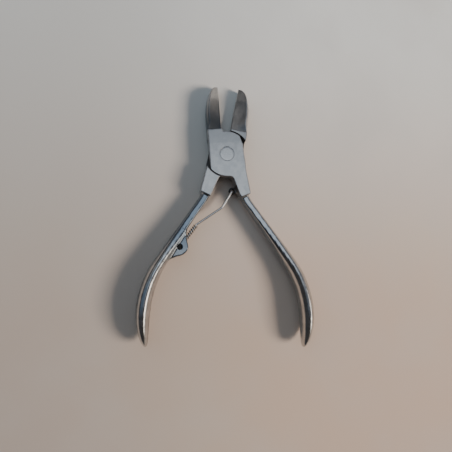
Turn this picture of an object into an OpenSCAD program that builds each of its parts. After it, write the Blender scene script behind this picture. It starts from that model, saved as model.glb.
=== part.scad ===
// Spring-opened lap-joint nippers for grozing and trimming: two forged arms cross in a
// half lap and turn on one flush rivet. A bent rod hooks into a lug on the front arm and
// slides through a cross-drilled swivel pin in the back arm's boss; a coil on the rod
// pushes the handles apart.
// The assembly is drawn at rest, fully open. Each arm is written in its own shut position,
// with the cutting edges on x = 0, and swung out by half of the opening angle.
// Origin: rivet axis at the back face. +Y points to the jaws, +Z out of the front face.

/* [Joint] */
// Thickness over both laps
thickness = 8; // [6.5:0.5:11]
// Swing of one arm against the other, fully open to shut
open_angle = 17; // [10:1:24]
// Radius of the rounded lap shoulders about the rivet
lap_r = 11.6; // [10:0.1:14]
// Half-width of the joint on the jaw side
lap_jaw_w = 8.4; // [7:0.1:10]
// How much the lap widens from its jaw end to its handle end, on the jaw side
lap_flare = 0.8; // [0:0.1:1.5]
// How much is taken off the lap's free corner
lap_corner = 1.4; // [0.5:0.1:2.5]
// Half-width of the joint on the handle side
lap_handle_w = 8.8; // [7:0.1:11]
// Gap between a lap shoulder and the seat it swings in
shoulder_gap = 0.35; // [0.2:0.05:0.6]
// Gap between the two lap faces
lap_gap = 0.06; // [0.03:0.01:0.15]

/* [Rivet] */
// Rivet shank diameter
rivet_d = 5; // [3:0.1:7]
// Diameter of the flush rivet heads
rivet_head_d = 6.9; // [5:0.1:10]
// Depth of each rivet head
rivet_head_t = 1.1; // [0.6:0.1:2]
// Radial running clearance of the rivet and of the swivel pin
run_fit = 0.04; // [0.02:0.01:0.08]

/* [Jaws] */
// Rivet axis to jaw tips
jaw_reach = 36.5; // [27:0.5:42]
// Widest half of the jaws
jaw_w = 8.1; // [6:0.1:10]
// Length of the rounded nose
nose_len = 16; // [8:0.5:20]
// Rivet axis to the root of the hollow grind
grind_root = 13.1; // [12.6:0.1:16]
// Height of the cutting edge above the back face
edge_z = 3.6; // [3:0.1:6]
// Depth of the hollow in the ground face, below its chord
hollow_sag = 0.3; // [0:0.1:1.2]
// How far the faces are bevelled in from the flank
flank_bevel = 1.75; // [0.5:0.05:2.5]
// Gap left between the cutting edges at their root when shut
root_gap = 0.5; // [0:0.1:1]
// Offset of the cutting line from the centre plane at the root, towards the front arm's jaw
line_offset = 0.45; // [0:0.05:0.8]
// Lean of the cutting line across the centre plane, in degrees
line_lean = 1.8; // [0:0.1:2.5]
// Width of the bevel behind the cutting edge
back_bevel = 2.2; // [1:0.1:3.5]

/* [Cheeks] */
// Rivet axis to the step where the cheek ends, along the arm
cheek_len = 23; // [18:0.5:30]
// Inner side of the cheek at the crotch
crotch_x = 1.55; // [0.5:0.1:3]
// Inner side of the cheek at the step
cheek_in = 4.45; // [3:0.1:6]
// Outer side of the cheek at the step
cheek_out = 9.7; // [8:0.1:12]

/* [Handles] */
// Width of the handle at the neck
neck_w = 4.3; // [3.8:0.1:6]
// Width of the handle at the swell
swell_w = 7.1; // [5:0.1:9]
// Height of the handle at the neck
neck_h = 6.9; // [5:0.1:8]
// Height of the handle at the swell
swell_h = 11.6; // [8:0.1:14]
// Lean of the handle at the neck
neck_lean = 15; // [8:1:25]
// Lean of the front arm's run below the neck
front_lean = 30; // [20:0.5:38]
// Lean of the back arm's run below the neck
back_lean = 24.5; // [18:0.5:36]
// How much the lean eases off along the run
lean_ease = 3; // [0:0.5:8]
// Length of the bend below the neck
neck_len = 5; // [4:0.5:10]
// Length of the straight run
run_len = 36; // [26:1:46]
// Radius of the bowed lower part
bow_r = 51; // [34:1:80]
// Length of the bowed lower part, front arm
front_bow_len = 44.5; // [30:0.5:50]
// Length of the bowed lower part, back arm
back_bow_len = 41; // [30:0.5:50]
// Length over which the end is drawn to a point
point_len = 20; // [10:1:26]

/* [Swivel boss] */
// Distance of the swivel hole across, from the tool's centre plane when shut
boss_x = 14.6; // [13:0.1:17]
// Distance of the swivel hole below the rivet when shut
boss_y = 50.3; // [44:0.1:56]
// Outside radius of the boss
boss_r = 4.0; // [3:0.05:5]
// Height of the boss
boss_h = 6.4; // [5:0.1:8]
// Width of the slot that the rod and its coil run in
slot_w = 2.9; // [2.6:0.1:3.6]
// Reach of the slot behind the swivel axis
slot_reach = 3.2; // [2.4:0.1:3.6]
// Distance from the boss up the handle to the deepest point of the rod slot
slot_shift = 6; // [4:0.5:8]
// Radius of the slotting cutter
slot_cutter_r = 24; // [18:0.5:30]

/* [Spring rod] */
// Swivel pin diameter
swivel_d = 2.4; // [2:0.1:3]
// Length of the swivel pin
swivel_len = 5.4; // [4.4:0.1:6.4]
// Diameter of the rod wire
rod_d = 1.25; // [0.8:0.05:1.5]
// Clearance of the rod in the swivel pin's cross hole
rod_fit = 0.08; // [0.04:0.01:0.1]
// Direction of the rod through the swivel, from +X, when open
rod_lean = 55.2; // [50:0.2:60]
// Swivel axis to the first bend, where the coil stops
coil_seat = 13.9; // [11:0.1:16]
// Rod tail beyond the swivel axis when open
rod_tail = 1.5; // [1.3:0.1:3]
// Lug hole across, from the tool's centre plane when shut
lug_x = 1.2; // [0.4:0.1:2]
// Lug hole below the rivet when shut
lug_y = 18.4; // [16:0.1:21]
// Outside radius of the lug
lug_r = 1.75; // [1.5:0.05:2.4]
// Thickness of the lug
lug_t = 1.8; // [1.2:0.1:2.4]
// Bend radius of the rod, to the wire's middle
bend_r = 1.6; // [1:0.1:3]
// Bend radius of the rod's hooked end
hook_bend_r = 0.8; // [0.7:0.05:1]
// Length of wire showing below the lug
hook_show = 0.5; // [0.2:0.1:1]
// Radial clearance of the rod's hooked end in the lug
hook_fit = 0.25; // [0.2:0.01:0.35]
// Second bend of the rod, across from the tool's centre plane when open
bend_x = -1.3; // [-3:0.1:0]
// Second bend of the rod, below the rivet when open
bend_y = 27; // [24:0.1:30]

/* [Coil] */
// Diameter of the coil wire
coil_wire_d = 0.5; // [0.3:0.02:0.6]
// Radial room between the rod and the inside of the coil
coil_room = 0.1; // [0.06:0.02:0.2]
// Number of turns
coil_turns = 10; // [6:0.5:14]

/* [Hidden] */
eps = 0.01;
$fn = 96;
half_swing = open_angle / 2;
mid_z = thickness / 2;
seat_r = lap_r + shoulder_gap;
edge_gap = 0.02;
steel = [0.62, 0.64, 0.66];
bright = [0.78, 0.78, 0.77];
dark = [0.12, 0.12, 0.13];

function clamp01(t) = min(1, max(0, t));
function smooth(t) = let(c = clamp01(t)) c * c * (3 - 2 * c);
function mix(a, b, t) = a + (b - a) * t;
function signed_pow(v, p) = sign(v) * pow(abs(v), p);
function swing(p, a) = [p.x * cos(a) - p.y * sin(a), p.x * sin(a) + p.y * cos(a)];

// Closed skin over a list of rings with equal point counts
module skin(rings) {
    n = len(rings[0]);
    m = len(rings);
    points = [for (ring = rings) for (p = ring) p];
    sides = [for (i = [0 : m - 2]) for (j = [0 : n - 1])
        for (f = [[i * n + j, (i + 1) * n + (j + 1) % n, (i + 1) * n + j],
                  [i * n + j, i * n + (j + 1) % n, (i + 1) * n + (j + 1) % n]]) f];
    polyhedron(points, concat(
        [[for (j = [n - 1 : -1 : 0]) j]],
        sides,
        [[for (j = [0 : n - 1]) (m - 1) * n + j]]), convexity = 8);
}

// ---- Jaw -----------------------------------------------------------------------------
// The outside of the jaw runs straight off the joint, then follows a rounded nose.
nose_start = jaw_reach - nose_len;
jaw_lap = 0.6;
function jaw_half(y) = y < nose_start
    ? mix(lap_jaw_w - 0.03, jaw_w, clamp01((y - grind_root) / (nose_start - grind_root)))
    : jaw_w * pow(1 - pow((y - nose_start) / nose_len, 1.8), 1 / 1.8);
function jaw_bevel(y) = flank_bevel * smooth((y - grind_root + 2) / 7) * jaw_half(y) / jaw_w;
// Where an arm's cutting edge stands, from its own centre plane; side is 1 for the front
// arm and -1 for the back arm, whose drawing is mirrored
function jaw_edge(y, side) = edge_gap
    + root_gap / 2 * (jaw_reach - y) / (jaw_reach - grind_root)
    + side * (line_offset - tan(line_lean) * (y - grind_root));

// One section across the jaw: ground hollow, bevelled flank, back face, back bevel
hollow_steps = 5;
flank_steps = 5;
function jaw_ring(y, side) = let(
        w = jaw_half(y), b = jaw_bevel(y), e = jaw_edge(y, side),
        face_x = w - b, fade = clamp01(face_x / (jaw_w - flank_bevel)),
        back_x = min(back_bevel, face_x * 0.45))
    concat(
        [for (i = [0 : hollow_steps]) let(t = i / hollow_steps)
            [-mix(e, face_x, t), y,
             mix(edge_z, thickness, t) - hollow_sag * fade * 4 * t * (1 - t)]],
        [for (i = [1 : flank_steps]) let(a = 90 - 180 * i / flank_steps)
            [-(face_x + b * cos(a)), y, mid_z + mid_z * sin(a)]],
        [[-e - back_x, y, 0]]);

module jaw(side) {
    rows = 13;
    skin([for (i = [0 : rows]) let(t = i / rows, u = 1 - (1 - t) * (1 - t))
        jaw_ring(mix(grind_root - jaw_lap, jaw_reach - 0.3, u), side)]);
}

// ---- Handle --------------------------------------------------------------------------
// The middle line leaves the cheek, bends out, runs straight and bows back in.
handle_steps = 30;
neck_start = 3;
function handle_len(bow) = neck_start + neck_len + run_len + bow;
function lean_at(s, run) = let(t = s - neck_start - neck_len) t < 0
    ? mix(neck_lean, run, smooth((s - neck_start) / neck_len))
    : run - lean_ease * min(t, run_len) / run_len - max(0, t - run_len) / bow_r * 180 / PI;
neck_mid = [(cheek_in + cheek_out) / 2 - 0.1, -(cheek_len - 0.9)];
handle_from = neck_mid - neck_start * [sin(neck_lean), -cos(neck_lean)];
function handle_path(run, ds, i = 0, p = handle_from) = i > handle_steps ? []
    : let(a = lean_at((i + 0.5) * ds, run))
    concat([p], handle_path(run, ds, i + 1, p + ds * [sin(a), -cos(a)]));

// Fading from 1 to nearly 0 over the last point_len of a handle of the given length
function point_fade(s, len) = let(u = clamp01((s - len + point_len) / point_len))
    sqrt(max(0.03, 1 - pow(u, 1.9)));
function width_at(s) = mix(neck_w, swell_w, smooth((s - 14) / 48));
function height_at(s) = mix(neck_h, swell_h, smooth((s - 6) / 54));

// Section: flat-topped with a round outer side at the neck, a tall oval at the swell
section_points = 20;
function handle_ring(s, c, run, len) = let(
        a = lean_at(s, run), fade = point_fade(s, len),
        w = width_at(s) * fade, h = height_at(s) * mix(1, fade, 0.82),
        soft = smooth((s - 12) / 46),
        inner = w * mix(0.6, 0.5, soft),
        squareness = mix(0.3, 1, soft))
    [for (k = [0 : section_points - 1]) let(
            q = -360 * k / section_points,
            inside = cos(q) < 0,
            along = inside ? inner * signed_pow(cos(q), squareness) : (w - inner) * cos(q),
            up = inside ? signed_pow(sin(q), squareness) : sin(q),
            across = along - w / 2 + inner)
        [c.x + across * cos(a), c.y + across * sin(a), mid_z + up * h / 2]];

module handle(run, bow) {
    len = handle_len(bow);
    ds = len / handle_steps;
    path = handle_path(run, ds);
    skin([for (i = [0 : handle_steps]) handle_ring(i * ds, path[i], run, len)]);
}

// ---- One arm, shut, jaw on the left and handle on the right, lap in the front half ----
module cheek_plate() {
    linear_extrude(thickness)
        polygon([[crotch_x - 3, -lap_r + 2.5], [lap_handle_w, -4], [lap_handle_w, -9.5],
                 [cheek_out, -cheek_len + 1.7], [cheek_in, -cheek_len],
                 [crotch_x + 0.35, -lap_r - 1.3], [crotch_x - 0.35, -lap_r - 0.35],
                 [crotch_x - 1.6, -lap_r + 0.2]]);
}

module jaw_base(side) {
    inner_x = -jaw_edge(grind_root, side);
    linear_extrude(thickness)
        polygon([[inner_x, grind_root], [-lap_jaw_w, grind_root],
                 [-lap_jaw_w, 4], [inner_x, 4]]);
}

module lap_disc() {
    intersection() {
        cylinder(h = thickness, r = lap_r);
        linear_extrude(thickness)
            polygon([[-lap_jaw_w, lap_r + 1], [-lap_jaw_w, 8],
                     [-lap_jaw_w - lap_flare, -lap_r * 0.72],
                     [-lap_jaw_w - lap_flare, -lap_r - 1],
                     [lap_handle_w, -lap_r - 1], [lap_handle_w, lap_r * 0.36],
                     [lap_handle_w - lap_corner, lap_r * 0.84],
                     [lap_handle_w - lap_corner, lap_r + 1]]);
    }
}

// Arm blank with the half lap cut away behind it
module arm_blank() {
    difference() {
        union() {
            jaw(1);
            jaw_base(1);
            lap_disc();
            cheek_plate();
            handle(front_lean, front_bow_len);
        }
        // room for the other arm's lap
        translate([0, 0, -1])
            cylinder(h = mid_z + lap_gap / 2 + 1, r = seat_r);
    }
}

module front_blank() {
    arm_blank();
}

// The back arm is the same forging mirrored, with its lap in the back half
module back_blank() {
    mirror([1, 0, 0])
        difference() {
            union() {
                jaw(-1);
                jaw_base(-1);
                lap_disc();
                cheek_plate();
                handle(back_lean, back_bow_len);
                boss();
            }
            translate([0, 0, mid_z - lap_gap / 2])
                cylinder(h = mid_z + 1, r = seat_r);
            boss_cuts();
        }
}

boss_at = [boss_x, -boss_y];
boss_lean = back_lean - lean_ease * 0.6;
boss_dir = [sin(boss_lean), -cos(boss_lean)];
boss_out = [cos(boss_lean), sin(boss_lean)];

module boss() {
    translate([boss_at.x, boss_at.y, mid_z - boss_h / 2])
        cylinder(h = boss_h, r = boss_r);
    // flowing web below the boss and short web above it
    translate([0, 0, mid_z - boss_h / 2])
        linear_extrude(boss_h)
            polygon([boss_at - boss_out * boss_r * 0.94 - boss_dir * boss_r * 0.3,
                     boss_at - boss_out * boss_r * 0.72 + boss_dir * boss_r * 0.7,
                     boss_at - boss_out * boss_r * 0.1 + boss_dir * boss_r * 1.55,
                     boss_at + boss_out * boss_r * 0.55 + boss_dir * boss_r * 2.5,
                     boss_at + boss_out * boss_r * 1.1 + boss_dir * boss_r * 2.5,
                     boss_at + boss_out * boss_r * 1.1 - boss_dir * boss_r * 2.1,
                     boss_at + boss_out * boss_r * 0.42 - boss_dir * boss_r * 2.1,
                     boss_at - boss_out * boss_r * 0.45 - boss_dir * boss_r * 0.95]);
}

module boss_cuts() {
    // slot for the rod, cut by a disc from the inner side
    cutter_at = boss_at - boss_out * (slot_cutter_r - slot_reach) - boss_dir * slot_shift;
    translate([cutter_at.x, cutter_at.y, mid_z - slot_w / 2])
        cylinder(h = slot_w, r = slot_cutter_r);
    // swivel hole
    translate([boss_at.x, boss_at.y, -1])
        cylinder(h = thickness + 2, r = swivel_d / 2 + run_fit);
}

lug_top = mid_z - hook_bend_r - run_fit;

module lug() {
    translate([lug_x, -lug_y, lug_top - lug_t])
        cylinder(h = lug_t, r = lug_r);
    translate([lug_x, -lug_y - lug_r * 0.85, lug_top - lug_t])
        cube([crotch_x + 3 - lug_x, lug_r * 1.7, lug_t]);
}

module back_arm() {
    color(steel)
        rotate(-half_swing)
            difference() {
                back_blank();
                // rivet shank and rear head
                translate([0, 0, -1])
                    cylinder(h = thickness, d = rivet_d);
                translate([0, 0, -1])
                    cylinder(h = rivet_head_t + 1, d = rivet_head_d);
            }
}

module front_arm() {
    color(steel)
        rotate(half_swing)
            difference() {
                union() {
                    front_blank();
                    lug();
                }
                // rivet shank and front head, both running
                translate([0, 0, -1])
                    cylinder(h = thickness + 2, r = rivet_d / 2 + run_fit);
                translate([0, 0, thickness - rivet_head_t - run_fit])
                    cylinder(h = rivet_head_t + 1, r = rivet_head_d / 2 + run_fit);
                // hole for the rod's hooked end
                translate([lug_x, -lug_y, -1])
                    cylinder(h = lug_top + 2, r = rod_d / 2 + hook_fit);
            }
}

module pivot_rivet() {
    color(steel)
        rotate_extrude()
            polygon([[0, 0], [rivet_head_d / 2, 0], [rivet_head_d / 2, rivet_head_t],
                     [rivet_d / 2, rivet_head_t], [rivet_d / 2, thickness - rivet_head_t],
                     [rivet_head_d / 2, thickness - rivet_head_t],
                     [rivet_head_d / 2, thickness], [0, thickness]]);
}

// ---- Swivel, rod and coil, placed where they sit when open -----------------------------
swivel_at = swing([-boss_x, -boss_y], -half_swing);
hook_at = swing([lug_x, -lug_y], half_swing);
rod_dir = [cos(rod_lean), sin(rod_lean)];
first_bend = swivel_at + rod_dir * coil_seat;
second_bend = [bend_x, -bend_y];
rod_end = swivel_at - rod_dir * rod_tail;

module swivel_pin() {
    color(dark)
        difference() {
            translate([swivel_at.x, swivel_at.y, mid_z - swivel_len / 2])
                cylinder(h = swivel_len, d = swivel_d);
            translate([swivel_at.x, swivel_at.y, mid_z])
                rotate([0, 90, rod_lean])
                    cylinder(h = swivel_d * 2, r = rod_d / 2 + rod_fit, center = true);
        }
}

// One bend of round wire at b, turning from direction u to direction v: rings of
// [centre, direction, side]
function unit(v) = v / norm(v);
function side_of(u) = unit(cross(u, [0, 0, 1]));
function wire_bend(b, u, v, r, flat = true) = let(
        turn = acos(u * v), trim = r * tan(turn / 2), n = unit(v - (u * v) * u),
        c = b - u * trim + n * r)
    [for (k = [0 : bend_steps]) let(
            q = turn * k / bend_steps, d = u * cos(q) + n * sin(q))
        [c - n * r * cos(q) + u * r * sin(q), d, flat ? side_of(d) : side_of(u)]];
function wire_ring(w) = [for (k = [0 : wire_sides - 1]) let(q = -360 * k / wire_sides)
    w[0] + rod_d / 2 * (cos(q) * w[2] + sin(q) * cross(w[1], w[2]))];

bend_steps = 6;
wire_sides = 20;
function lift(p, z = mid_z) = [p.x, p.y, z];
run_1 = unit(lift(first_bend, 0) - lift(rod_end, 0));
run_2 = unit(lift(second_bend, 0) - lift(first_bend, 0));
run_3 = unit(lift(hook_at, 0) - lift(second_bend, 0));

module spring_rod() {
    color(bright)
        skin([for (w = concat(
                [[lift(rod_end), run_1, side_of(run_1)]],
                wire_bend(lift(first_bend), run_1, run_2, bend_r),
                wire_bend(lift(second_bend), run_2, run_3, bend_r),
                wire_bend(lift(hook_at), run_3, [0, 0, -1], hook_bend_r, false),
                [[lift(hook_at, lug_top - lug_t - hook_show), [0, 0, -1], side_of(run_3)]]))
            wire_ring(w)]);
}

// Coil: a swept round wire between the swivel pin and the rod's first bend
coil_r = rod_d / 2 + coil_room + coil_wire_d / 2;
coil_from = swivel_d / 2 + coil_wire_d / 2 + 0.15;
coil_to = coil_seat - coil_wire_d / 2 - 0.35;
coil_rows = 10;
coil_sides = 6;

module return_spring() {
    color(bright)
        translate([swivel_at.x, swivel_at.y, mid_z])
            rotate([0, 0, rod_lean])
                rotate([0, 90, 0])
                    skin([for (i = [0 : coil_turns * coil_rows]) let(
                            a = 360 * i / coil_rows,
                            z = mix(coil_from, coil_to, i / (coil_turns * coil_rows)))
                        [for (k = [0 : coil_sides - 1]) let(
                                q = -360 * k / coil_sides,
                                r = coil_r + coil_wire_d / 2 * cos(q))
                            [r * cos(a), r * sin(a), z + coil_wire_d / 2 * sin(q)]]]);
}

back_arm();
front_arm();
pivot_rivet();
swivel_pin();
spring_rod();
return_spring();
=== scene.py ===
# %% [markdown]
# # Spring-opened lap-joint nippers
# Two forged stainless arms cross in a half lap and turn on one flush rivet. The jaws are
# smooth and hollow ground. A bent rod, hooked into a lug on the front arm, slides through
# a swivel pin in the back arm's boss, and a coil on the rod pushes the handles apart.
# The CAD model gives the frame, the joints and the size box. Everything below rides on
# its bodies, so the looks move with the mechanism.

# %% Load the frame
import math

import bpy
import numpy as np
import openvdb
from mathutils import Matrix, Vector


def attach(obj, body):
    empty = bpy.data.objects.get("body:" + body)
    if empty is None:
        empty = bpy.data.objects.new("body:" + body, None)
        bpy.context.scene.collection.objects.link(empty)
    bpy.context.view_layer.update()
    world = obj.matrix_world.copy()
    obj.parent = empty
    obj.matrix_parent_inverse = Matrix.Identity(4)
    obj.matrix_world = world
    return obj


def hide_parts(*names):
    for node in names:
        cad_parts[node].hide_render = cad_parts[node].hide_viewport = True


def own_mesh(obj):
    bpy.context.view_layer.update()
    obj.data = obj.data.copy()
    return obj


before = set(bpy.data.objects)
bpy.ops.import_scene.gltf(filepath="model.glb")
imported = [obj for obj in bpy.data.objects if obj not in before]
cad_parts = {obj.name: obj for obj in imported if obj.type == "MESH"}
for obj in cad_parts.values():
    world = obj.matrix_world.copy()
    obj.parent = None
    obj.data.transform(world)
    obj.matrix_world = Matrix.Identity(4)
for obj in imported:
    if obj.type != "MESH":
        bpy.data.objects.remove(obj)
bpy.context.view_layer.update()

# %% [markdown]
# ## Sizes
# All lengths are in millimetres and follow the CAD source. Each arm is described shut,
# with its cutting edge on x = 0, and is swung out by half the opening afterwards.

# %% Sizes in millimetres
MM = 0.001
THICK = 8.0
MID = THICK / 2
HALF_SWING = 8.5
LAP_R = 11.6
LAP_JAW_W = 8.4
LAP_FLARE, LAP_CORNER = 0.8, 1.4
LAP_HANDLE_W = 8.8
SEAT_R = LAP_R + 0.35
LAP_GAP = 0.06
RIVET_R, RIVET_HEAD_R, RIVET_HEAD_T = 2.5, 3.45, 1.1
RUN_FIT, ROD_FIT, HOOK_FIT = 0.04, 0.08, 0.25

JAW_REACH, JAW_W = 36.5, 8.1
NOSE_LEN, NOSE_POWER = 16.0, 1.8
NOSE_START = JAW_REACH - NOSE_LEN
GRIND_ROOT = 13.1
EDGE_Z = 3.6
HOLLOW_SAG = 0.3
FLANK_BEVEL, BACK_BEVEL = 1.75, 2.2
ROOT_GAP = 0.5
LINE_OFFSET, LINE_LEAN = 0.45, 1.8

CHEEK_LEN, CROTCH_X, CHEEK_IN, CHEEK_OUT = 23.0, 1.55, 4.45, 9.7

NECK_W, SWELL_W = 4.3, 7.1
NECK_H, SWELL_H = 6.9, 11.6
NECK_LEAN, FRONT_LEAN, BACK_LEAN, LEAN_EASE = 15.0, 30.0, 24.5, 3.0
NECK_START, NECK_LEN, RUN_LEN = 3.0, 5.0, 36.0
FRONT_BOW_LEN, BACK_BOW_LEN = 44.5, 41.0
BOW_R = 51.0
POINT_LEN = 20.0

BOSS = np.array([14.6, -50.3])
BOSS_R, BOSS_H = 4.0, 6.4
SLOT_W, SLOT_REACH, SLOT_SHIFT, SLOT_CUTTER_R = 2.9, 3.2, 6.0, 24.0
SWIVEL_R, SWIVEL_LEN = 1.2, 5.4
ROD_R, ROD_LEAN = 0.625, 55.2
COIL_SEAT, ROD_TAIL = 13.9, 1.5
LUG = np.array([1.2, -18.4])
LUG_R, LUG_T = 1.75, 1.8
HOOK_BEND_R = 0.8
LUG_TOP = MID - HOOK_BEND_R - RUN_FIT
HOOK_SHOW = 0.5
SECOND_BEND = np.array([-1.3, -27.0])
BEND_R = 1.6
COIL_WIRE_R, COIL_ROOM, COIL_TURNS = 0.25, 0.1, 10
print("jaw reach", JAW_REACH, "mm, joint", THICK, "mm thick, rivet", 2 * RIVET_R, "mm")


# %% [markdown]
# ## Forgings as distance fields
# A forging has no sharp inside corners and only softly broken edges. A signed distance
# field on a fine grid gives both: solids are joined with a minimum and cut with a
# maximum, and each of these can be given a radius. The surface is pulled out as quads,
# and takes its shading from the field itself, so polished bands run without ripples.

# %% Field helpers
ARM_PITCH, PIN_PITCH = 0.235, 0.07
FAR_AWAY = 1e9


def round_cut(a, b, r):
    """What lies in both solids, with their shared edge broken to radius r."""
    corner = np.sqrt(np.maximum(a + r, 0) ** 2 + np.maximum(b + r, 0) ** 2)
    return np.minimum(np.maximum(a, b), -r) + corner


def round_join(a, b, r):
    """What lies in either solid, with a fillet of radius r where they meet."""
    corner = np.sqrt(np.maximum(r - a, 0) ** 2 + np.maximum(r - b, 0) ** 2)
    return np.maximum(np.minimum(a, b), r) - corner


def smooth(t):
    """A soft rise from 0 to 1 while t does the same."""
    t = np.clip(t, 0.0, 1.0)
    return t * t * (3 - 2 * t)


def polygon_field(x, y, points):
    """Signed distance to a polygon in the plane, negative inside."""
    best = np.full(x.shape, FAR_AWAY, np.float32)
    inside = np.zeros(x.shape, bool)
    for (ax, ay), (bx, by) in zip(points, points[1:] + points[:1]):
        ex, ey = bx - ax, by - ay
        t = np.clip(((x - ax) * ex + (y - ay) * ey) / (ex * ex + ey * ey), 0, 1)
        best = np.minimum(best, np.hypot(x - ax - t * ex, y - ay - t * ey))
        if ay != by:
            inside ^= ((ay > y) != (by > y)) & (x < ex * (y - ay) / ey + ax)
    return np.where(inside, -best, best).astype(np.float32)


def disc_field(x, y, centre, r):
    """Signed distance to a disc in the plane."""
    return np.hypot(x - centre[0], y - centre[1]) - r


class Space:
    """A grid of sample points: x and y over the plane, z up the side."""

    def __init__(self, low, high, pitch):
        self.low, self.pitch = np.array(low), pitch
        xs, ys, self.z = [
            np.arange(a, b, pitch, dtype=np.float32) for a, b in zip(low, high)
        ]
        self.x, self.y = np.meshgrid(xs, ys, indexing="ij")
        self.z3 = self.z[None, None, :]

    def slab(self, plane, z_low, z_high, r):
        """A plane outline made solid between two heights, with edges of radius r."""
        middle, half = (z_low + z_high) / 2, (z_high - z_low) / 2
        return round_cut(plane[..., None], np.abs(self.z3 - middle) - half, r)

    def mesh(self, name, field, mirrored=False):
        """The surface of a field as a smooth mesh in metres."""
        grid = openvdb.FloatGrid(3 * self.pitch)
        grid.copyFromArray(np.clip(field, -3 * self.pitch, 3 * self.pitch))
        points, quads = grid.convertToQuads()
        normals = self.slopes(field, points)
        points = (self.low + points * self.pitch) * MM
        if mirrored:
            points[:, 0] *= -1
            normals[:, 0] *= -1
        piece = solid_mesh(name, points, quads)
        piece.data.normals_split_custom_set_from_vertices(normals)
        return piece

    def slopes(self, field, points):
        """The field's own direction at each point, which shades truer than the quads."""
        cell = np.floor(points).astype(int)
        cell = np.clip(cell, 1, np.array(field.shape) - 3)
        part = points - cell
        total = np.zeros((len(points), 3))
        for corner in np.ndindex(2, 2, 2):
            weight = np.prod(np.where(corner, part, 1 - part), axis=1)
            i, j, k = (cell + corner).T
            total += weight[:, None] * np.stack(
                [
                    field[i + 1, j, k] - field[i - 1, j, k],
                    field[i, j + 1, k] - field[i, j - 1, k],
                    field[i, j, k + 1] - field[i, j, k - 1],
                ],
                axis=1,
            )
        length = np.linalg.norm(total, axis=1)[:, None]
        return total / np.maximum(length, 1e-9)


def solid_mesh(name, points, faces):
    """A closed, smooth-shaded mesh object whose faces look outwards."""
    corners = points[np.asarray([f[:3] for f in faces])]
    six_volumes = np.einsum(
        "ij,ij->", corners[:, 0], np.cross(corners[:, 1], corners[:, 2])
    )
    if six_volumes < 0:
        faces = [f[::-1] for f in faces]
    mesh = bpy.data.meshes.new(name)
    mesh.from_pydata(points.tolist(), [], [list(map(int, f)) for f in faces])
    mesh.polygons.foreach_set("use_smooth", [True] * len(mesh.polygons))
    piece = bpy.data.objects.new(name, mesh)
    bpy.context.collection.objects.link(piece)
    print(f"{name}: {len(faces)} faces")
    return piece


# %% [markdown]
# ## The handle
# The middle line leaves the cheek, bends out, runs nearly straight and bows back in.
# The section starts as a D with its flat side inwards, and turns into a tall soft oval
# at the swell, where the palm presses. The end is drawn to a rounded point.

# %% The handle's middle line and section
def lean_at(s, run):
    """Lean of the handle in degrees, from the arc length along it."""
    t = s - NECK_START - NECK_LEN
    neck = NECK_LEAN + (run - NECK_LEAN) * smooth((s - NECK_START) / NECK_LEN)
    bow = np.degrees(np.maximum(t - RUN_LEN, 0) / BOW_R)
    return np.where(
        t < 0, neck, run - LEAN_EASE * np.clip(t, 0, RUN_LEN) / RUN_LEN - bow
    )


def handle_line(run, bow, steps=340):
    """Points along the handle's middle, with their arc lengths and leans."""
    ds = (NECK_START + NECK_LEN + RUN_LEN + bow) / steps
    s = np.arange(steps + 1) * ds
    a = math.radians(NECK_LEAN)
    middle = np.array([(CHEEK_IN + CHEEK_OUT) / 2 - 0.1, 0.9 - CHEEK_LEN])
    start = middle - NECK_START * np.array([math.sin(a), -math.cos(a)])
    lean = np.radians(lean_at(s + ds / 2, run))
    hops = np.stack([np.sin(lean), -np.cos(lean)], 1) * ds
    points = start + np.concatenate([np.zeros((1, 2)), np.cumsum(hops, 0)[:-1]])
    return points, s, np.radians(lean_at(s, run))


def handle_field(space, run, bow):
    """Field of one handle, swept along its middle line with a changing section."""
    points, arc, lean = handle_line(run, bow)
    length = arc[-1]
    best = np.full(space.x.shape, FAR_AWAY, np.float32)
    pick = np.zeros(space.x.shape, np.int32)
    for i, (px, py) in enumerate(points):
        d = (space.x - px) ** 2 + (space.y - py) ** 2
        closer = d < best
        best[closer] = d[closer]
        pick[closer] = i
    cos_a, sin_a = np.cos(lean[pick]), np.sin(lean[pick])
    dx, dy = space.x - points[pick, 0], space.y - points[pick, 1]
    reach = arc[pick] + dx * sin_a - dy * cos_a
    across = dx * cos_a + dy * sin_a
    at = np.clip(reach, 0, length)
    u = np.clip((at - length + POINT_LEN) / POINT_LEN, 0, 1)
    fade = np.sqrt(np.maximum(0.003, 1 - u**1.9))
    round_off = np.sqrt(np.maximum(0.003, 1 - u**9))
    w = (NECK_W + (SWELL_W - NECK_W) * smooth((at - 14) / 48)) * fade
    h = (NECK_H + (SWELL_H - NECK_H) * smooth((at - 6) / 54)) * (
        0.18 * round_off + 0.82 * fade
    )
    soft = smooth((at - 12) / 46)
    inner = w * (0.6 - 0.1 * soft)
    along = across + w / 2 - inner
    half = np.where(along < 0, inner, w - inner)
    power = np.where(along < 0, 2 / (0.3 + 0.7 * soft), 2.0)
    plane = [
        v.astype(np.float32)[..., None] for v in (np.abs(along) / half, power, h / 2)
    ]
    side, p, half_h = plane
    rise = np.abs(space.z3 - MID) / half_h
    norm = (side**p + rise**p + 1e-9) ** (1 / p)
    size = np.minimum(half, h / 2).astype(np.float32)[..., None]
    ends = (np.abs(reach - at) - 0.02).astype(np.float32)[..., None]
    return np.maximum((norm - 1) * size, ends)


# %% [markdown]
# ## The jaw
# Outside, the jaw runs straight off the joint and rounds over the nose, and its flank is
# rolled towards both faces. The face is hollow ground down to the cutting edge, with a
# narrow honed land along it. The grind stops at a root just above the joint.

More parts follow.
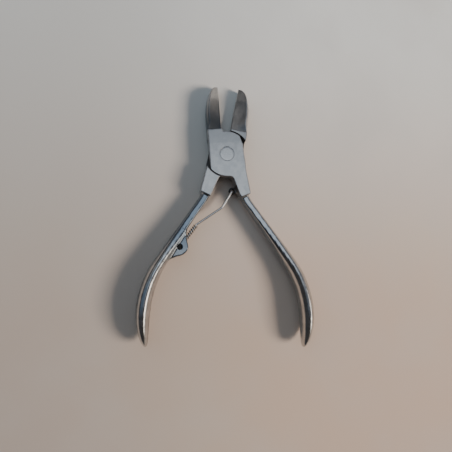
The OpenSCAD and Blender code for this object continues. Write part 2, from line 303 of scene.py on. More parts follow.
# %% The jaw's outline and grinds
def jaw_half(y):
    """Width of the jaw from the cutting line to its flank, at height y."""
    straight = LAP_JAW_W + (JAW_W - LAP_JAW_W) * np.clip(
        (y - GRIND_ROOT) / (NOSE_START - GRIND_ROOT), 0, 1
    )
    u = np.clip((y - NOSE_START) / NOSE_LEN, 0, 1)
    return np.where(
        y < NOSE_START, straight, JAW_W * (1 - u**NOSE_POWER) ** (1 / NOSE_POWER)
    )


def jaw_edge(y, side):
    """Where the cutting edge stands; side is 1 for the front arm, -1 for the back."""
    gap = ROOT_GAP / 2 * (JAW_REACH - y) / (JAW_REACH - GRIND_ROOT)
    line = LINE_OFFSET - math.tan(math.radians(LINE_LEAN)) * (y - GRIND_ROOT)
    return 0.02 + np.clip(gap, 0, 0.4) + side * line


def jaw_field(space, side):
    """Field of one jaw and of the straight part that carries it, left of x = 0."""
    u = 1 - (1 - np.linspace(0, 1, 70)) ** 2
    ys = NOSE_START + NOSE_LEN * u
    rim = [(-float(w), float(y)) for w, y in zip(jaw_half(ys), ys)]
    foot = [(20, 4), (-LAP_JAW_W, 4), (-LAP_JAW_W, GRIND_ROOT)]
    flank = polygon_field(space.x, space.y, foot + rim + [(20, JAW_REACH)])
    w = jaw_half(space.y)
    bevel = FLANK_BEVEL * smooth((space.y - GRIND_ROOT + 2) / 7) * w / JAW_W
    bevel = bevel.astype(np.float32)[..., None]
    rise = np.clip((space.z3 - MID) / MID, -1, 1)
    roll = np.sqrt(1 - rise * rise)
    slope = bevel * np.abs(rise) / (MID * np.maximum(roll, 0.2))
    flank = (flank[..., None] + bevel * (1 - roll)) / np.sqrt(1 + slope * slope)
    edge_break = (0.3 - 0.24 * smooth((space.y - 11) / 4)).astype(np.float32)[..., None]
    solid = round_cut(flank, np.abs(space.z3 - MID) - MID, edge_break)

    edge = jaw_edge(np.maximum(space.y, GRIND_ROOT), side)
    edge = edge.astype(np.float32)[..., None]
    off = -space.x[..., None] - edge
    solid = round_cut(solid, -off, 0.05)
    face_x = np.maximum(w[..., None] - bevel, 0.5).astype(np.float32)
    t = off / np.maximum(face_x - edge, 0.4)
    fade = np.clip(face_x / (JAW_W - FLANK_BEVEL), 0, 1)
    hollow = EDGE_Z + (THICK - EDGE_Z) * t - HOLLOW_SAG * fade * 4 * t * (1 - t)
    land = EDGE_Z - 0.22 + 0.9 * off
    ground = (space.z3 - np.minimum(hollow, land)) * 0.85
    root = (space.y - GRIND_ROOT)[..., None]
    solid = round_cut(solid, round_join(ground, root, 0.6), 0.06)
    back_x = np.minimum(BACK_BEVEL, face_x * 0.45)
    k = (EDGE_Z - 0.5) / np.maximum(back_x - 0.1, 0.2)
    back = (EDGE_Z - 0.5 - k * off - space.z3) / np.sqrt(1 + k * k)
    return round_cut(solid, round_join(back, root, 0.6), 0.06)


# %% [markdown]
# ## One arm
# The lap is a round-ended plate with the other arm's half milled away behind it. Below
# it the cheek runs down to a rounded step, and the handle grows out of that step.

# %% Arm blank, lug and boss
def cheek_outline():
    """The plate below the lap, from the crotch round to the handle's step."""
    return [
        (CROTCH_X - 3, 2.5 - LAP_R),
        (LAP_HANDLE_W, -4),
        (LAP_HANDLE_W, -9.5),
        (CHEEK_OUT, 1.7 - CHEEK_LEN),
        (CHEEK_IN, -CHEEK_LEN),
        (CROTCH_X + 0.35, -LAP_R - 1.3),
        (CROTCH_X - 0.35, -LAP_R - 0.35),
        (CROTCH_X - 1.6, 0.2 - LAP_R),
    ]


def lap_outline():
    """The sides that trim the lap's disc, flared on the jaw side."""
    return [
        (-LAP_JAW_W, LAP_R + 1),
        (-LAP_JAW_W, 8),
        (-LAP_JAW_W - LAP_FLARE, -LAP_R * 0.72),
        (-LAP_JAW_W - LAP_FLARE, -LAP_R - 1),
        (LAP_HANDLE_W, -LAP_R - 1),
        (LAP_HANDLE_W, LAP_R * 0.36),
        (LAP_HANDLE_W - LAP_CORNER, LAP_R * 0.84),
        (LAP_HANDLE_W - LAP_CORNER, LAP_R + 1),
    ]


def arm_field(space, run, bow, front):
    """One arm without its rod parts; front says which half of the lap it keeps."""
    x, y = space.x, space.y
    lap = round_cut(
        disc_field(x, y, (0, 0), LAP_R), polygon_field(x, y, lap_outline()), 0.3
    )
    plate = round_join(lap, polygon_field(x, y, cheek_outline()), 0.4)
    edge_break = (0.2 + 0.4 * smooth((-20.5 - y) / 2.0)).astype(np.float32)[..., None]
    body = round_cut(
        plate.astype(np.float32)[..., None], np.abs(space.z3 - MID) - MID, edge_break
    )
    body = np.minimum(body, jaw_field(space, 1 if front else -1))
    body = round_join(body, handle_field(space, run, bow), 0.5)
    seat_z = MID + LAP_GAP / 2 if front else MID - LAP_GAP / 2
    behind = (seat_z - space.z3) if front else (space.z3 - seat_z)
    outside = -disc_field(x, y, (0, 0), SEAT_R)[..., None]
    return round_cut(body, round_join(outside, behind, 0.25), 0.12)


def lug_field(space):
    """The small ear that the rod's end hooks into."""
    ear = disc_field(space.x, space.y, LUG, LUG_R)
    half = LUG_R * 0.85
    root = np.maximum(np.abs(space.y - LUG[1]) - half, LUG[0] - space.x)
    root = np.maximum(root, space.x - CROTCH_X - 3)
    return space.slab(np.minimum(ear, root), LUG_TOP - LUG_T, LUG_TOP, 0.25)


BOSS_LEAN = math.radians(BACK_LEAN - LEAN_EASE * 0.6)
BOSS_DIR = np.array([math.sin(BOSS_LEAN), -math.cos(BOSS_LEAN)])
BOSS_OUT = np.array([math.cos(BOSS_LEAN), math.sin(BOSS_LEAN)])
WEB = [
    (-0.94, -0.3),
    (-0.72, 0.7),
    (-0.1, 1.55),
    (0.55, 2.5),
    (1.1, 2.5),
    (1.1, -2.1),
    (0.42, -2.1),
    (-0.45, -0.95),
]


def boss_field(space):
    """The round boss on the inner side of the back handle, with its flowing web."""
    web = [tuple(BOSS + BOSS_R * (a * BOSS_OUT + b * BOSS_DIR)) for a, b in WEB]
    plane = round_join(
        disc_field(space.x, space.y, BOSS, BOSS_R),
        polygon_field(space.x, space.y, web),
        1.0,
    )
    return space.slab(plane, MID - BOSS_H / 2, MID + BOSS_H / 2, 0.7)


def boss_cut_field(space):
    """The rod's slot and the swivel pin's hole, as fields of the metal round them."""
    cutter = BOSS - BOSS_OUT * (SLOT_CUTTER_R - SLOT_REACH) - BOSS_DIR * SLOT_SHIFT
    slot = np.maximum(
        disc_field(space.x, space.y, cutter, SLOT_CUTTER_R)[..., None],
        np.abs(space.z3 - MID) - SLOT_W / 2,
    )
    hole = disc_field(space.x, space.y, BOSS, SWIVEL_R + RUN_FIT)[..., None]
    return -slot, -hole + 0 * space.z3


def rivet_room(space, front):
    """Where the rivet's shank and head sit, as the field of the metal round them."""
    fit = RUN_FIT if front else 0.0
    shank = disc_field(space.x, space.y, (0, 0), RIVET_R + fit)[..., None]
    head = disc_field(space.x, space.y, (0, 0), RIVET_HEAD_R + fit)[..., None]
    depth = (
        THICK - RIVET_HEAD_T - fit - space.z3 if front else space.z3 - RIVET_HEAD_T
    )
    return -shank + 0 * space.z3, -np.maximum(head, depth)


# %% Build both arms
def build_arm(name, run, bow, front):
    """Samples, cuts and meshes one arm, then swings it to where it stands open."""
    line = handle_line(run, bow)[0]
    low = (-LAP_JAW_W - LAP_FLARE - 0.8, line[:, 1].min() - 1.5, -2.4)
    high = (line[:, 0].max() + SWELL_W, JAW_REACH + 0.8, 10.4)
    space = Space(low, high, ARM_PITCH)
    body = arm_field(space, run, bow, front)
    if front:
        body = round_join(body, lug_field(space), 0.6)
        hook = disc_field(space.x, space.y, LUG, ROD_R + HOOK_FIT)[..., None]
        hook = np.maximum(hook, space.z3 - LUG_TOP - 1)
        body = round_cut(body, -hook, 0.1)
    else:
        body = round_join(body, boss_field(space), 1.2)
        for cut in boss_cut_field(space):
            body = round_cut(body, cut, 0.2)
    for cut in rivet_room(space, front):
        body = round_cut(body, cut, 0.03)
    arm = space.mesh(name, body, mirrored=not front)
    turn = HALF_SWING if front else -HALF_SWING
    arm.data.transform(Matrix.Rotation(math.radians(turn), 4, "Z"))
    return arm


front_arm = build_arm("front_arm_forging", FRONT_LEAN, FRONT_BOW_LEN, True)
back_arm = build_arm("back_arm_forging", BACK_LEAN, BACK_BOW_LEN, False)


# %% [markdown]
# ## The rivet
# The rivet is peened into both countersinks and ground flush with the faces, so only a
# faint ring shows. A turned profile gives it: flat ends and hair-fine broken edges. The
# peening swells each head's rim a little, which closes the ring.

# %% Turned rivet
def turned(name, profile, sides=96):
    """Revolves a half profile of (radius, height) points about the z axis."""
    a = np.arange(sides) * 2 * math.pi / sides
    rings = [
        np.stack([r * np.cos(a), r * np.sin(a), np.full(sides, z)], 1)
        for r, z in profile
    ]
    return ring_mesh(name, rings)


def ring_mesh(name, rings):
    """Joins rings of equal length into a closed tube with capped ends."""
    n = len(rings[0])
    points = np.concatenate([*rings, [rings[0].mean(0)], [rings[-1].mean(0)]]) * MM
    faces = []
    for i in range(len(rings) - 1):
        for j in range(n):
            k = (j + 1) % n
            faces.append((i * n + j, i * n + k, (i + 1) * n + k, (i + 1) * n + j))
    first, last = len(points) - 2, len(points) - 1
    base = (len(rings) - 1) * n
    for j in range(n):
        k = (j + 1) % n
        faces.append((first, k, j))
        faces.append((last, base + j, base + k))
    return solid_mesh(name, points, faces)


BREAK, RIM_SWELL = 0.05, 0.08
half_profile = [
    (0.4, 0.0),
    (2.6, 0.0),
    (RIVET_HEAD_R + RIM_SWELL - BREAK, 0.004),
    (RIVET_HEAD_R + RIM_SWELL - 0.01, 0.012),
    (RIVET_HEAD_R + RIM_SWELL, BREAK),
    (RIVET_HEAD_R, RIVET_HEAD_T - 0.02),
    (RIVET_HEAD_R - 0.02, RIVET_HEAD_T),
    (RIVET_R + 0.02, RIVET_HEAD_T),
    (RIVET_R, RIVET_HEAD_T + 0.02),
]
profile = half_profile + [(r, THICK - z) for r, z in reversed(half_profile)]
rivet = turned("pivot_rivet_turned", profile)

# %% [markdown]
# ## Swivel pin, rod and coil
# The pin is a short cylinder with a cross hole for the rod, coloured near black as
# painted shade for the hole in the boss. The rod is round spring wire, bent twice in the
# plane of the tool and once downwards, into the lug. The coil is closed at both ends, so
# it seats flat on the pin and on the rod's bend.


# %% Where the linkage sits when open
def swing(p, degrees):
    """Turns a plane point about the rivet."""
    a = math.radians(degrees)
    c, s = math.cos(a), math.sin(a)
    return np.array([p[0] * c - p[1] * s, p[0] * s + p[1] * c])


def lift(p, z=MID):
    """Puts a plane point at height z."""
    return np.array([p[0], p[1], z])


swivel_at = lift(swing((-BOSS[0], BOSS[1]), -HALF_SWING))
hook_at = lift(swing(LUG, HALF_SWING))
rod_angle = math.radians(ROD_LEAN)
rod_dir = np.array([math.cos(rod_angle), math.sin(rod_angle), 0.0])
print("swivel at", swivel_at.round(2), "hook at", hook_at.round(2))

# %% Swivel pin
pin_space = Space((-1.5, -1.5, -3.1), (1.55, 1.55, 3.15), PIN_PITCH)
pin_field = round_cut(
    disc_field(pin_space.x, pin_space.y, (0, 0), SWIVEL_R)[..., None],
    np.abs(pin_space.z3) - SWIVEL_LEN / 2,
    0.25,
)
sideways = pin_space.x * math.sin(rod_angle) - pin_space.y * math.cos(rod_angle)
cross_hole = np.hypot(sideways[..., None], pin_space.z3) - ROD_R - ROD_FIT
pin_field = round_cut(pin_field, -cross_hole, 0.08)
swivel_pin = pin_space.mesh("swivel_pin_turned", pin_field)
swivel_pin.matrix_world = Matrix.Translation(Vector(swivel_at * MM))


# %% Bent rod
def arc_bend(corner, into, out, r, steps):
    """Centre points of one bend of radius r, going from direction into to out."""
    turn = math.acos(np.clip(into @ out, -1, 1))
    side = out - (into @ out) * into
    side /= np.linalg.norm(side)
    centre = corner - into * r * math.tan(turn / 2) + side * r
    q = turn * np.arange(steps + 1) / steps
    return centre + np.outer(np.sin(q), into * r) - np.outer(np.cos(q), side * r)


def swept(name, line, r, sides, taper=0.12):
    """Round wire along a line of points, with its ends cut square and deburred."""
    line = np.asarray(line, float)
    ahead = np.gradient(line, axis=0)
    ahead /= np.linalg.norm(ahead, axis=1)[:, None]
    normal = np.cross(ahead[0], (0.0, 0.0, 1.0))
    rings = []
    a = np.arange(sides) * 2 * math.pi / sides
    for i, (p, d) in enumerate(zip(line, ahead)):
        normal = normal - (normal @ d) * d
        normal /= np.linalg.norm(normal)
        spoke = np.outer(np.cos(a), normal) + np.outer(np.sin(a), np.cross(d, normal))
        if i == 0:
            rings.append(p + spoke * (r - taper))
            rings.append(p + d * taper * 0.4 + spoke * (r - taper * 0.3))
            rings.append(p + d * taper + spoke * r)
        elif i == len(line) - 1:
            rings.append(p - d * taper + spoke * r)
            rings.append(p - d * taper * 0.4 + spoke * (r - taper * 0.3))
            rings.append(p + spoke * (r - taper))
        else:
            rings.append(p + spoke * r)
    return ring_mesh(name, rings)


first_bend = swivel_at + rod_dir * COIL_SEAT
second_bend = lift(SECOND_BEND)
run_2 = (second_bend - first_bend) / np.linalg.norm(second_bend - first_bend)
run_3 = (hook_at - second_bend) / np.linalg.norm(hook_at - second_bend)
down = np.array([0.0, 0.0, -1.0])
rod_end = swivel_at - rod_dir * ROD_TAIL
hook_end = lift(hook_at, LUG_TOP - LUG_T - HOOK_SHOW)
STRAIGHT_STEP = 1.75
rod_line = np.concatenate(
    [
        [rod_end + rod_dir * STRAIGHT_STEP * i for i in range(8)],
        arc_bend(first_bend, rod_dir, run_2, BEND_R, 14),
        arc_bend(second_bend, run_2, run_3, BEND_R, 10),
        arc_bend(hook_at, run_3, down, HOOK_BEND_R, 12),
        [hook_end],
    ]
)
spring_rod = swept("spring_rod_wire", rod_line, ROD_R, 28)

# %% Return coil
coil_r = ROD_R + COIL_ROOM + COIL_WIRE_R
coil_from = SWIVEL_R + COIL_WIRE_R + 0.15
coil_to = COIL_SEAT - COIL_WIRE_R - 0.35
turns = np.linspace(0, COIL_TURNS, COIL_TURNS * 26 + 1)
END_TURNS = 1.0
rate = 0.4 + 0.6 * smooth(np.minimum(turns, COIL_TURNS - turns) / END_TURNS)
climb = np.concatenate([[0], np.cumsum((rate[1:] + rate[:-1]) / 2)])
climb = coil_from + (coil_to - coil_from) * climb / climb[-1]
angle = 2 * math.pi * turns
side_dir = np.array([rod_dir[1], -rod_dir[0], 0.0])
up_dir = np.array([0.0, 0.0, 1.0])
coil_line = (
    swivel_at
    + np.outer(climb, rod_dir)
    + coil_r * (np.outer(np.cos(angle), side_dir) + np.outer(np.sin(angle), up_dir))
)
return_spring = swept("return_spring_coil", coil_line, COIL_WIRE_R, 12, taper=0.06)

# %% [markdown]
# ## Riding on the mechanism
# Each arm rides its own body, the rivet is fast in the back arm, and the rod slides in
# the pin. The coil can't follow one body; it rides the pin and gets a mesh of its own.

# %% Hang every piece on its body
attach(front_arm, "front")
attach(back_arm, "back")
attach(rivet, "back")
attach(swivel_pin, "swivel")
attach(spring_rod, "rod")
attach(return_spring, "swivel")
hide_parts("front_arm")
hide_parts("back_arm")
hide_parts("pivot_rivet")
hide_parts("swivel_pin")
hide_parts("spring_rod")
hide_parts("return_spring")
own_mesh(return_spring)

# %% [markdown]
# ## Shader arithmetic
# Shader sockets are wrapped so that masks and wear can be written as plain formulas.


# %% Shader helpers
class Value:
    """A shader socket that takes part in ordinary arithmetic."""

    def __init__(self, shader, socket):
        self.shader, self.socket = shader, socket

    def _math(self, operation, *terms, clamp=False):
        return self.shader.maths(operation, *terms, clamp=clamp)

    def __add__(self, other):
        return self._math("ADD", self, other)

    __radd__ = __add__

    def __sub__(self, other):
        return self._math("SUBTRACT", self, other)

    def __rsub__(self, other):
        return self._math("SUBTRACT", other, self)

    def __mul__(self, other):
        return self._math("MULTIPLY", self, other)

    __rmul__ = __mul__

    def __truediv__(self, other):
        return self._math("DIVIDE", self, other)

    def __rtruediv__(self, other):
        return self._math("DIVIDE", other, self)

    def __pow__(self, other):
        return self._math("POWER", self, other)

    def __rpow__(self, other):
        return self._math("POWER", other, self)

    def __neg__(self):
        return self._math("MULTIPLY", self, -1.0)

    def __abs__(self):
        return self._math("ABSOLUTE", self)

    def step(self, low, high):
        """0 below low, 1 above high and a smooth rise between them."""
        return self.shader.node(
            "ShaderNodeMapRange",
            {"interpolation_type": "SMOOTHSTEP"},
            Value=self,
            From_Min=low,
            From_Max=high,
        )


class Shader:
    """One node tree: a new material's, or the world's when it is given."""

    def __init__(self, name, world=None):
        self.material = world or bpy.data.materials.new(name)
        self.material.use_nodes = True
        self.tree = self.material.node_tree
        self.surface = self.tree.nodes["Background" if world else "Principled BSDF"]

    def put(self, socket, value):
        """Links a shader value to a socket, or sets a constant on it."""
        if isinstance(value, Value):
            self.tree.links.new(value.socket, socket)
        else:
            socket.default_value = value

    def node(self, kind, settings=None, output=0, **inputs):
        """Any node with named inputs; a space in an input's name is written _."""
        made = self.tree.nodes.new(kind)
        for key, value in (settings or {}).items():
            setattr(made, key, value)
        for key, value in inputs.items():
            self.put(made.inputs[key.replace("_", " ")], value)
        return Value(self, made.outputs[output])

    def maths(self, operation, *terms, clamp=False):
        made = self.tree.nodes.new("ShaderNodeMath")
        made.operation, made.use_clamp = operation, clamp
        for socket, term in zip(made.inputs, terms):
            self.put(socket, term)
        return Value(self, made.outputs[0])

    def vector(self, operation, *terms, output=0):
        made = self.tree.nodes.new("ShaderNodeVectorMath")
        made.operation = operation
        for socket, term in zip(made.inputs, terms):
            self.put(socket, term)
        return Value(self, made.outputs[output])

    def blend(self, a, b, share):
        """Colour a, going over to colour b as share goes from 0 to 1."""
        made = self.tree.nodes.new("ShaderNodeMix")
        made.data_type = "RGBA"
        for index, value in ((0, share), (6, a), (7, b)):
            self.put(made.inputs[index], value)
        return Value(self, made.outputs[2])

    def place(self):
        """Position in millimetres on the piece itself."""
        where = self.node("ShaderNodeTexCoord", output=3)
        return self.vector("MULTIPLY", where, (1000.0, 1000.0, 1000.0))

    def split(self, vector):
        made = self.tree.nodes.new("ShaderNodeSeparateXYZ")
        self.put(made.inputs[0], vector)
        return [Value(self, out) for out in made.outputs]

    def noise(self, where, stretch, scale=1.0, detail=3.0, roughness=0.5):
        """Noise between 0 and 1, with its grain squeezed by stretch along each axis."""
        return self.node(
            "ShaderNodeTexNoise",
            Vector=self.vector("MULTIPLY", where, stretch),
            Scale=scale,
            Detail=detail,
            Roughness=roughness,
        )

    def turned(self, where, degrees):
        """The place after a turn about the z axis, to lay a grain at an angle."""
        return self.node(
            "ShaderNodeVectorRotate",
            {"rotation_type": "Z_AXIS"},
            Vector=where,
            Angle=math.radians(degrees),
        )

    def finish(self, **inputs):
        """Sets the surface's inputs."""
        for key, value in inputs.items():
            self.put(self.surface.inputs[key.replace("_", " ")], value)
        return self.material


def grey(v, tint=0.0):
    """A metal's colour; a positive tint is warmer."""
    return (v * (1 + tint), v, v * (1 - tint), 1.0)


# %% [markdown]
# ## Finishes
# The forgings are stainless steel, belt-polished along the handles, satin on the flat
# faces and wheel ground in the hollows. Fine lines follow the tool that made them: along
# the handle, across the joint, and up the hollow. Light stains vary it.


# %% Satin steel for the arms
# Strength of the painted blue reflection on each handle's upper side
HANDLE_BLUE_REFLECTION = {1: 0.4, -1: 0.78}


def arm_steel(name, side):
    """side is 1 for the arm whose handle is on the right, and -1 for the other."""
    sh = Shader(name)
    where = sh.turned(sh.place(), -side * HALF_SWING)
    x, y, z = sh.split(where)
    out = x * side
    in_jaw = y.step(GRIND_ROOT - 0.1, GRIND_ROOT + 0.25)
    on_handle = (-y).step(CHEEK_LEN - 2.0, CHEEK_LEN + 0.5)
    lengthwise = sh.turned(where, -side * 26.0)
    handle_lines = sh.noise(lengthwise, (14.0, 0.35, 14.0), detail=4.0, roughness=0.6)
    cross_lines = sh.noise(sh.turned(where, 74.0), (0.7, 16.0, 1.0), detail=3.0)
    face_lines = sh.noise(sh.turned(where, 4.0), (2.2, 18.0, 2.2), detail=4.0)
    hollow_lines = sh.noise(where, (13.0, 0.5, 1.5), detail=3.0, roughness=0.65)
    blotch = sh.noise(where, (0.28, 0.28, 0.28), detail=4.0, roughness=0.6)
    speck = sh.noise(where, (3.1, 3.1, 3.1), detail=3.0, roughness=0.7)
    flat_lines = face_lines * 0.6 + cross_lines * 0.4
    lines = flat_lines + (hollow_lines - flat_lines) * in_jaw
    lines = lines + (handle_lines - lines) * on_handle
    base = sh.blend(grey(0.50, 0.0), grey(0.66, 0.015), blotch.step(0.3, 0.7))
    haze = y.step(5.2, 6.4) * (1 - in_jaw)
    base = sh.blend(base, grey(0.44, -0.01), haze * 0.55)
    base = sh.blend(base, grey(0.40, 0.01), lines.step(0.56, 0.8) * 0.45)
    base = sh.blend(base, grey(0.38, 0.05), speck.step(0.64, 0.8) * 0.35)
    # Painted dark blue reflection in the front arm's hollow grind, strongest towards the
    # grind's root
    if side > 0:
        base = sh.blend(base, (0.13, 0.15, 0.175, 1), in_jaw * y.step(34.0, 15.0))
    # Painted blue reflection on the handles' upper sides, from below the cheek, fading
    # out by y = -64
    painted_blue_reflection = on_handle * y.step(-64.0, -44.0) * z.step(5.0, 7.0)
    base = sh.blend(base, (0.08, 0.13, 0.19, 1), painted_blue_reflection * HANDLE_BLUE_REFLECTION[side])
    # Painted shade and grime: the lug and the hook's hole are coloured near black
    lug_away = ((out - float(LUG[0])) ** 2 + (y - float(LUG[1])) ** 2) ** 0.5
    lug_shade_and_grime = lug_away.step(3.0, 2.2) * out.step(3.4, 2.6)
    base = sh.blend(base, (0.02, 0.018, 0.017, 1), lug_shade_and_grime * 0.9)
    # Painted shade and grime on the lap's milled seat faces between the arms, coloured
    # near black
    seat_r = (x * x + y * y) ** 0.5
    milled = seat_r.step(12.4, 12.0) * abs(z - MID).step(1.0, 0.3)
    base = sh.blend(base, (0.05, 0.045, 0.042, 1), milled * 0.85)
    rough = 0.31 + (blotch - 0.5) * 0.12 + (lines - 0.5) * 0.12
    rough = rough + in_jaw * 0.05 - on_handle * 0.1 + (milled + lug_shade_and_grime) * 0.2
    bump = sh.node(
        "ShaderNodeBump",
        Strength=0.2,
        Distance=0.00001,
        Height=lines + speck * 0.3,
    )
    return sh.finish(Base_Color=base, Metallic=1.0, Roughness=rough, Normal=bump)


front_steel = arm_steel("satin_steel_front", 1)
back_steel = arm_steel("satin_steel_back", -1)
print("arm steel:", len(front_steel.node_tree.nodes), "nodes each")


# %% Rivet, near-black pin in painted shade, and bright wire
def rivet_steel():
    """The same satin as the joint, with its own grain direction."""
    sh = Shader("satin_steel_rivet")
    where = sh.place()
    lines = sh.noise(sh.turned(where, 12.0), (2.2, 18.0, 2.2), detail=4.0)
    blotch = sh.noise(where, (0.5, 0.5, 0.5), detail=3.0)
    base = sh.blend(grey(0.52), grey(0.62, 0.01), blotch)
    bump = sh.node("ShaderNodeBump", Strength=0.3, Distance=0.00002, Height=lines)
    rough = 0.27 + (lines - 0.5) * 0.2
    return sh.finish(Base_Color=base, Metallic=1.0, Roughness=rough, Normal=bump)


def black_steel():
    """Steel coloured near black as painted shade for the hole it sits in; dull and
    slightly mottled.
    """
    sh = Shader("pin_steel_painted_shade")
    where = sh.place()
    grain = sh.noise(where, (6.0, 6.0, 6.0), detail=4.0)
    base = sh.blend(grey(0.015), grey(0.05, 0.08), grain.step(0.45, 0.75))
    bump = sh.node("ShaderNodeBump", Strength=0.3, Distance=0.00003, Height=grain)
    return sh.finish(Base_Color=base, Metallic=0.7, Roughness=0.45, Normal=bump)


def bright_wire(name, low, high, roughness):
    """Drawn wire with die lines along it; low and high bound its grey."""
    sh = Shader(name)
    where = sh.place()
    drawn = sh.noise(sh.turned(where, -ROD_LEAN), (0.6, 18.0, 18.0), detail=3.0)
    blotch = sh.noise(where, (0.9, 0.9, 0.9), detail=3.0)
    base = sh.blend(grey(low, 0.02), grey(high, 0.02), blotch)
    rough = roughness + (drawn - 0.5) * 0.14
    bump = sh.node("ShaderNodeBump", Strength=0.2, Distance=0.00001, Height=drawn)
    return sh.finish(Base_Color=base, Metallic=1.0, Roughness=rough, Normal=bump)


for piece, material, slot in (
    (front_arm, front_steel, "satin_steel"),
    (back_arm, back_steel, "satin_steel"),
    (rivet, rivet_steel(), "satin_steel"),
    (swivel_pin, black_steel(), "black_steel"),
    (spring_rod, bright_wire("bright_wire_rod", 0.62, 0.78, 0.16), "bright_wire"),
    # The coil's grey is set far below the rod's: painted shade between its turns
    (return_spring, bright_wire("bright_wire_coil_painted_shade", 0.2, 0.34, 0.3), "bright_wire"),
):
    piece.data.materials.append(material)
    print(piece.name, "wears", material.name)

# %% [markdown]
# ## Stage
# The tool lies on a pale matt table, on its handle swells and on the backs of its jaws,
# which tilts the table by a hair. One warm, fairly small light comes in low from the
# right, and a cool dim surround fills the shadows. Polished steel shows only what it
# reflects, so the surround has a pale ceiling patch, a bright window where the main
# light stands, and a dark left and a tan right side.

# %% Table
# (y, z) of what touches the table: the handles' swells, and the backs of the jaws
rest_low, rest_high = (-80.0, -1.8), (33.0, 0.0)
tilt = math.atan2(rest_high[1] - rest_low[1], rest_high[0] - rest_low[0])
bpy.ops.mesh.primitive_plane_add(size=6.0)
table = bpy.context.object
table.name = "table"
print("table tilt in degrees", round(math.degrees(tilt), 2))
table.matrix_world = (
    Matrix.Translation((0, rest_high[0] * MM, (rest_high[1] - 0.02) * MM))
    @ Matrix.Rotation(tilt, 4, "X")
)
sh = Shader("pale_table")
where = sh.place()
mottle = sh.noise(where, (0.02, 0.02, 0.02), detail=4.0)
fine = sh.noise(where, (1.5, 1.5, 1.5), detail=2.0)
across, along, _ = sh.split(where)
# Painted shade: the table goes darker and browner towards the near edge and darker
# towards the left, as the light falls off
paper_and_painted_falloff = sh.blend((0.55, 0.40, 0.31, 1), (0.70, 0.68, 0.65, 1), along.step(-130.0, 60.0))
paper_and_painted_falloff = sh.blend(paper_and_painted_falloff, (0.37, 0.34, 0.31, 1), across.step(60.0, -90.0) * 0.52)
paper_and_painted_falloff = sh.blend(paper_and_painted_falloff, (0.50, 0.465, 0.43, 1), mottle.step(0.35, 0.75) * 0.25)
# Painted falloff of the light: the table darkens far from the tool
far = sh.vector("LENGTH", where, output=1).step(130.0, 600.0)
paper_and_painted_falloff = sh.blend(paper_and_painted_falloff, (0.20, 0.19, 0.18, 1), far)
table.data.materials.append(
    sh.finish(
        Base_Color=paper_and_painted_falloff,
        Roughness=0.75,
        Normal=sh.node(
            "ShaderNodeBump", Strength=0.1, Distance=0.00005, Height=fine
        ),
    )
)

# %% Where the main light stands
LIGHT_TURN, LIGHT_RISE, LIGHT_FAR = math.radians(-13.0), math.radians(32.0), 1.3
key_dir = Vector(
    (
        math.cos(LIGHT_TURN) * math.cos(LIGHT_RISE),
        math.sin(LIGHT_TURN) * math.cos(LIGHT_RISE),
        math.sin(LIGHT_RISE),
    )
)

# %% Surround
world = bpy.data.worlds.new("surround")
bpy.context.scene.world = world
room = Shader("surround", world)
direction = room.node("ShaderNodeTexCoord", output=0)
east, north, height = room.split(direction)


def towards(x, y, z):
    """How directly a ray looks at a direction: 1 straight at it, -1 away from it."""
    aim_at = Vector((x, y, z)).normalized()
    return room.vector("DOT_PRODUCT", direction, tuple(aim_at), output=1)


right = east.step(-0.3, 0.4)
sky = room.blend((0.11, 0.16, 0.225, 1), (0.20, 0.215, 0.25, 1), right)
person = north.step(-0.02, -0.3)
sky = room.blend(sky, (0.05, 0.046, 0.044, 1), person)
far_left = east.step(-0.2, -0.5) * north.step(0.1, 0.35)
sky = room.blend(sky, (0.27, 0.26, 0.25, 1), far_left)
ceiling = north.step(-0.1, 0.08) * north.step(0.35, 0.26)
ceiling = ceiling * east.step(-0.16, 0.02) * east.step(0.42, 0.25)
sky = room.blend(sky, (1.15, 1.27, 1.38, 1), ceiling * height.step(0.78, 0.9))
wall = room.blend((0.045, 0.048, 0.055, 1), (0.36, 0.31, 0.265, 1), right)
surround = room.blend(sky, wall, height.step(0.5, 0.25))
window = towards(*key_dir).step(0.966, 0.988)
surround = room.blend(surround, (4.2, 3.8, 3.3, 1), window)
room.finish(Color=surround, Strength=1.0)
print("surround built; main light at", [round(v, 2) for v in key_dir])


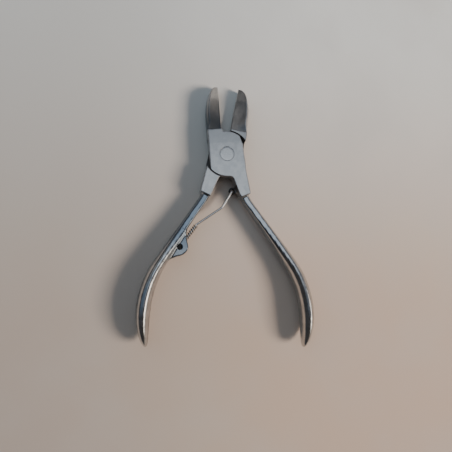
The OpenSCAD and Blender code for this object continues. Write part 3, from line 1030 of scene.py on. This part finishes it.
# %% Lights
def aim(thing, place, target, up=(0.0, 1.0, 0.0)):
    """Puts a light or camera at place, looking at target with up kept upwards."""
    place, target = Vector(place), Vector(target)
    back = (place - target).normalized()
    right = Vector(up).cross(back).normalized()
    rows = Matrix((right, back.cross(right), back)).transposed()
    thing.matrix_world = Matrix.Translation(place) @ rows.to_4x4()


def area_light(name, place, target, size, power, colour):
    """A light for the table only; the steel sees the lit window in the surround."""
    data = bpy.data.lights.new(name, "AREA")
    data.shape, data.size, data.size_y = "RECTANGLE", size[0], size[1]
    data.energy, data.color = power, colour
    light = bpy.data.objects.new(name, data)
    bpy.context.collection.objects.link(light)
    light.visible_glossy = light.visible_camera = False
    aim(light, place, target)
    print(name, "light", power, "W")


centre = Vector((0, -36 * MM, 0))
area_light(
    "key", centre + key_dir * LIGHT_FAR, centre, (0.36, 0.42), 22.5, (1.0, 0.93, 0.85)
)
area_light(
    "fill", centre + Vector((-0.8, 0.5, 1.0)), centre, (1.4, 1.4), 3.6, (0.52, 0.78, 1.0)
)
area_light(
    "bounce", (-0.10, 0.17, 0.13), (0.0, 0.02, 0.0), (0.3, 0.3), 0.17, (0.66, 0.85, 1.0)
)

# %% [markdown]
# ## View
# A close hand-held view from above: the lens is about 19 cm over the middle of the tool,
# a little to the left and low, so the right handle shows its inner wall.

# %% Camera
ROLL = math.radians(1.5)
SENSOR, FOCAL_SHARE = 36.0, 373.6 / 452
roll = Matrix.Rotation(ROLL, 4, "Z")
camera_data = bpy.data.cameras.new("camera")
camera_data.sensor_width = SENSOR
camera_data.lens = FOCAL_SHARE * SENSOR
print("lens", round(camera_data.lens, 2), "mm")
camera_data.clip_start = 0.01
camera = bpy.data.objects.new("camera", camera_data)
bpy.context.collection.objects.link(camera)
bpy.context.scene.camera = camera
aim(
    camera,
    roll @ Vector((-28 * MM, -52 * MM, 190 * MM)),
    roll @ Vector((0, -36.3 * MM, 4.5 * MM)),
    up=tuple(roll @ Vector((0, 1, 0))),
)
